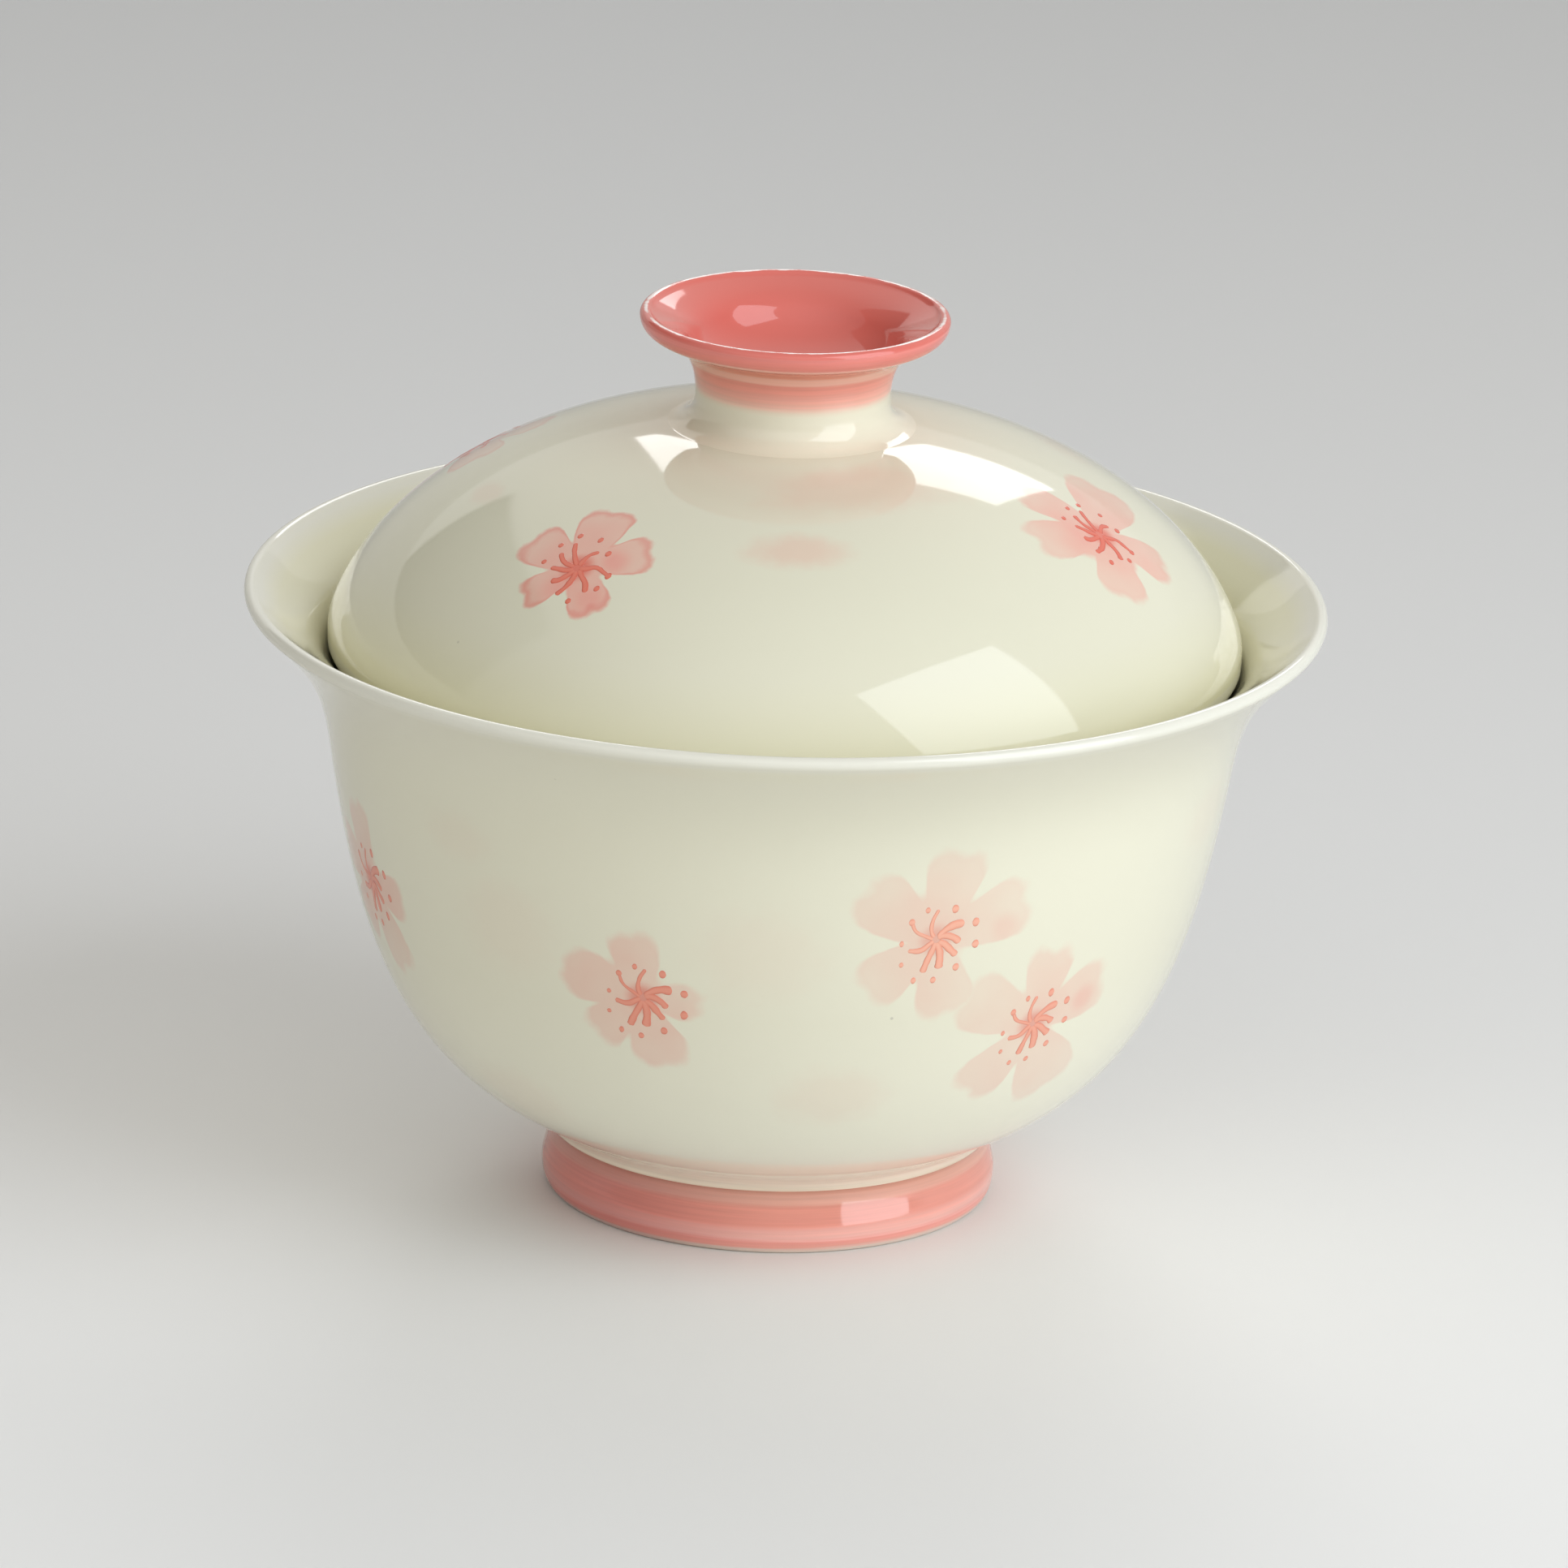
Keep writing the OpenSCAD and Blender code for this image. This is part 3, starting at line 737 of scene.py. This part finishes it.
# ---- Stamens painted on the lid --------------------------------------------------------------------
# The lid's blossoms are painted darker than the bowl's, with the same pointed brush: eight strokes and
# eight dots in thick rose colour.
lid_strokes = [
    ((0.22, 0.20), [(-0.3, 0.3), (-0.9, 0.9), (-1.7, 1.9), (-2.25, 2.9)]),
    ((0.20, 0.22), [(-0.5, 0.0), (-1.8, 0.3), (-2.4, 0.7), (-2.9, 1.3)]),
    ((0.26, 0.24), [(-0.3, -0.3), (-1.0, -0.6), (-1.9, -0.65), (-2.8, -0.7)]),
    ((0.26, 0.26), [(-0.1, -0.4), (-0.5, -1.15), (-1.05, -1.9), (-1.8, -2.2)]),
    ((0.28, 0.24), [(0.1, -0.4), (0.3, -1.3), (0.15, -2.6), (-0.3, -3.6)]),
    ((0.28, 0.26), [(0.3, -0.2), (1.0, -0.8), (1.9, -1.5), (2.5, -2.5)]),
    ((0.28, 0.20), [(0.2, 0.0), (0.8, 0.1), (1.8, 0.6), (2.9, 0.3), (3.6, 0.05)]),
    ((0.22, 0.20), [(0.0, 0.3), (0.0, 0.85), (0.2, 1.8), (0.9, 2.5)]),
]
lid_dots = [
    (3.6, 0.05, 0.34), (-2.4, 3.9, 0.30), (0.0, 4.0, 0.28), (1.9, 2.6, 0.32), (3.4, -1.7, 0.30),
    (1.4, -3.9, 0.30), (-4.0, -0.2, 0.28), (-3.6, 2.2, 0.28),
]
lid_stamens = painted_stamens("lid_painted_stamens", brush_template("lid_brushwork", lid_strokes, lid_dots),
                              lid_blossoms, dome_outside, lid_dome, 8.0)
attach(lid_stamens, "lid")

# ---- Lid knob --------------------------------------------------------------------------------------
# A waisted knob thrown as a tiny cup and luted to the crown of the lid. Rose underglaze covers its
# lip and hollow, and fades to ivory down the neck.
knob_top = corner("lid_knob", HIGH).z
knob_r = corner("lid_knob", HIGH).x
bead_r = 0.6
neck = point(9.45, crown_z + 2.7)
bead = point(knob_r - bead_r, knob_top - bead_r)
groove = point(knob_r - 1.7, knob_top - 2.45)
cup_edge = point(9.9, knob_top - 3.0)
bead_inner = along(bead, 150, bead_r)
cup_z = knob_top - 6.4
knob_profile = (
    [point(0, crown_z)]
    + curve(crown, along(crown, crown_angle, -1.3), neck - point(0, 1.6), neck, 12)
    + curve(neck, neck + point(0, 4.4), along(groove, 22, -2.0), groove, 20)
    + curve(groove, along(groove, 15, 0.9), point(knob_r, groove.y + 0.75), point(knob_r, bead.y), 12)
    + arc(bead, bead_r, 0, 150)
    + curve(bead_inner, along(bead_inner, -158, 2.1), along(cup_edge, 62, 1.5), cup_edge, 14)[1:]
    + curve(cup_edge, along(cup_edge, -118, 2.5), point(6.0, cup_z), point(0, cup_z), 20)
    + [point(0, cup_z)]
)
knob_glaze, tree, shader, here, colour = rose_glaze("knob_rose_glaze", [
    (80.6, "#E6E2CC"), (81.4, "#EDC4B2"), (82.0, "#EFB0A0"), (83.1, "#EC9C8D"), (83.9, "#E99283"),
    (84.3, "#EAAF9D"), (84.9, "#E8A896"), (85.2, "#DC8870"), (86.2, "#D98169"), (86.5, "#F0C2B4"),
    (86.8, "#E5877C"), (88.9, "#E6847A")])
# The hollow of the cup, where it faces up, is coloured the deepest rose. The glaze breaks to white on the
# crest of its lip, and that broken white line is also a painted highlight.
up = add(tree, "ShaderNodeNewGeometry").outputs["Normal"]
up = add(tree, "ShaderNodeSeparateXYZ", {0: up}).outputs["Z"]
height = add(tree, "ShaderNodeSeparateXYZ", {0: here}).outputs["Z"]
above = add(tree, "ShaderNodeMath", {0: height, 1: (cup_z - 0.2) * MM}, operation="GREATER_THAN").outputs[0]
cup = add(tree, "ShaderNodeMapRange", {"Value": up, 1: 0.05, 2: 0.3, 3: 0.0, 4: above}).outputs[0]
bare = add(tree, "ShaderNodeMapRange", {"Value": height, 1: 81.6 * MM, 2: 80.6 * MM}).outputs[0]
colour = add(tree, "ShaderNodeMix", {0: bare, 6: colour, 7: paint("#E6E2CC")}, data_type="RGBA").outputs[2]
colour = add(tree, "ShaderNodeMix", {0: cup, 6: colour, 7: paint("#DC7469")}, data_type="RGBA").outputs[2]
broken = add(tree, "ShaderNodeTexNoise", {"Vector": here, "Scale": 420.0, "Detail": 3.0}).outputs["Fac"]
crest_break_and_highlight = add(tree, "ShaderNodeMath", {0: broken, 1: 0.22 * MM, 2: height},
           operation="MULTIPLY_ADD").outputs[0]
crest_break_and_highlight = add(tree, "ShaderNodeMapRange", {"Value": crest_break_and_highlight, 1: (knob_top + 0.07) * MM,
                                        2: (knob_top + 0.11) * MM}).outputs[0]
crest_break_and_highlight = add(tree, "ShaderNodeMath", {0: crest_break_and_highlight, 1: 0.92}, operation="MULTIPLY").outputs[0]
colour = add(tree, "ShaderNodeMix", {0: crest_break_and_highlight, 6: colour, 7: paint("#FBF1EC")}, data_type="RGBA").outputs[2]
tree.links.new(colour, shader["Base Color"])
lid_knob = thrown_piece("lid_knob_glazed", knob_profile, knob_glaze)
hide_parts("lid_knob")
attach(lid_knob, "lid")

# ---- Table, light and camera -----------------------------------------------------------------------
# A seamless pale table that turns up into a far backdrop all round, a tall soft panel at the right,
# a window behind, and a long lens that looks slightly down.


def backdrop():
    """A matt disc whose edge curves up into a low wall."""
    floor_edge, wall_top = point(2600, 0), point(3600, 1100)
    cove = [point(0, 0)] + curve(floor_edge, point(3400, 0), point(3600, 200), wall_top, 16) + [wall_top]
    material, tree, shader = new_material("matt_pale_table")
    here = add(tree, "ShaderNodeTexCoord").outputs["Object"]
    # Painted shade: the table is painted darker towards the back, from #EEEDEB in front to #B8B8B8 half a
    # metre behind, for the falloff of the light. From 0.8 to 1.6 m out it turns pale again.
    distance = add(tree, "ShaderNodeSeparateXYZ", {0: here}).outputs["Y"]
    distance = add(tree, "ShaderNodeMapRange", {"Value": distance, 1: -0.15, 2: 0.5}).outputs[0]
    colour = add(tree, "ShaderNodeMix", {0: distance, 6: paint("#EEEDEB"), 7: paint("#B8B8B8")},
                 data_type="RGBA").outputs[2]
    far = add(tree, "ShaderNodeVectorMath", {0: here}, operation="LENGTH")
    far = add(tree, "ShaderNodeMapRange", {"Value": far.outputs["Value"], 1: 0.8, 2: 1.6}).outputs[0]
    colour = add(tree, "ShaderNodeMix", {0: far, 6: colour, 7: paint("#F0F0EE")},
                 data_type="RGBA").outputs[2]
    tree.links.new(colour, shader["Base Color"])
    shader["Roughness"].default_value = 0.6
    drawing = bpy.data.meshes.new("cove")
    drawing.from_pydata([(p.x * MM, 0, p.y * MM) for p in cove],
                        [(i, i + 1) for i in range(len(cove) - 1)], [])
    return run_tree("table", drawing, wheel, {"Segments": 96, "Sharp Edge Angle": 1.0, "Glaze": material})


backdrop()


def direction_to(azimuth, elevation):
    """A direction from the bowl: azimuth 0 is towards the camera, 90 to the right."""
    a, e = math.radians(azimuth), math.radians(elevation)
    return Vector((math.sin(a) * math.cos(e), -math.cos(a) * math.cos(e), math.sin(e)))


def soft_panel(name, azimuth, elevation, distance, width, height, watts, tint):
    """A soft panel that faces the bowl."""
    light = bpy.data.lights.new(name, "AREA")
    light.shape = "RECTANGLE"
    light.size, light.size_y = width, height
    light.energy = watts
    light.color = paint(tint)[:3]
    panel = bpy.data.objects.new(name, light)
    bpy.context.scene.collection.objects.link(panel)
    back = direction_to(azimuth, elevation)
    panel.location = Vector((0, 0, 0.05)) + back * distance
    panel.rotation_euler = back.to_track_quat("Z", "Y").to_euler()
    panel.visible_camera = False
    return panel


soft_panel("right_panel", 57, 26, 0.9, 0.68, 1.16, 7.2, "#EFF6FF")
soft_panel("back_window", 175, 31, 1.2, 0.56, 0.31, 1.7, "#FFFFFF")

# The sky: light from the far end of the room, from behind the camera and a little from the left, and a
# dark doorway at the back left, whose corners are (azimuth, elevation).
world = bpy.data.worlds.new("studio")
world.use_nodes = True
bpy.context.scene.world = world
sky = world.node_tree
towards = add(sky, "ShaderNodeTexCoord").outputs["Generated"]
glow = 0.0
for direction, strength in (((0, 0.98, 0.2), 0.9), ((0, -0.98, 0.2), 1.12), ((-0.95, -0.2, 0.25), 0.22)):
    lobe = add(sky, "ShaderNodeVectorMath", {0: towards, 1: direction},
               operation="DOT_PRODUCT").outputs["Value"]
    lobe = add(sky, "ShaderNodeMath", {0: lobe, 1: 0.0}, operation="MAXIMUM").outputs[0]
    glow = add(sky, "ShaderNodeMath", {0: lobe, 1: strength, 2: glow}, operation="MULTIPLY_ADD").outputs[0]
doorway = [(-88, 8), (-95, 50), (-113, 51), (-157, 27), (-137, 9)]
inside = 1.0
for start, end in zip(doorway, doorway[1:] + doorway[:1]):
    side = direction_to(*start).cross(direction_to(*end)).normalized()
    past = add(sky, "ShaderNodeVectorMath", {0: towards, 1: side}, operation="DOT_PRODUCT").outputs["Value"]
    past = add(sky, "ShaderNodeMapRange", {"Value": past, 1: -0.012, 2: 0.012}).outputs[0]
    inside = add(sky, "ShaderNodeMath", {0: past, 1: inside}, operation="MULTIPLY").outputs[0]
shade = add(sky, "ShaderNodeMapRange", {"Value": inside, 1: 0.0, 2: 1.0, 3: 1.0, 4: 0.04}).outputs[0]
glow = add(sky, "ShaderNodeMath", {0: glow, 1: shade}, operation="MULTIPLY").outputs[0]
sky.nodes["Background"].inputs["Color"].default_value = paint("#FFFEFA")
sky.links.new(glow, sky.nodes["Background"].inputs["Strength"])

# A long lens in front of the bowl that looks down by 18 degrees.
lens = bpy.data.cameras.new("long_lens")
lens.lens = 338.7
lens.sensor_width = 36
lens.clip_start, lens.clip_end = 0.05, 20
camera = bpy.data.objects.new("camera", lens)
bpy.context.scene.collection.objects.link(camera)
camera.location = (0, -1.3642, 0.4857)
aim = Vector((0.00039, -0.00095, 0.04107)) - camera.location
tilt = Matrix.Rotation(math.radians(1.9), 3, "Z")
camera.rotation_euler = (aim.to_track_quat("-Z", "Y").to_matrix() @ tilt).to_euler()
bpy.context.scene.camera = camera
bpy.context.scene.view_settings.view_transform = "Standard"
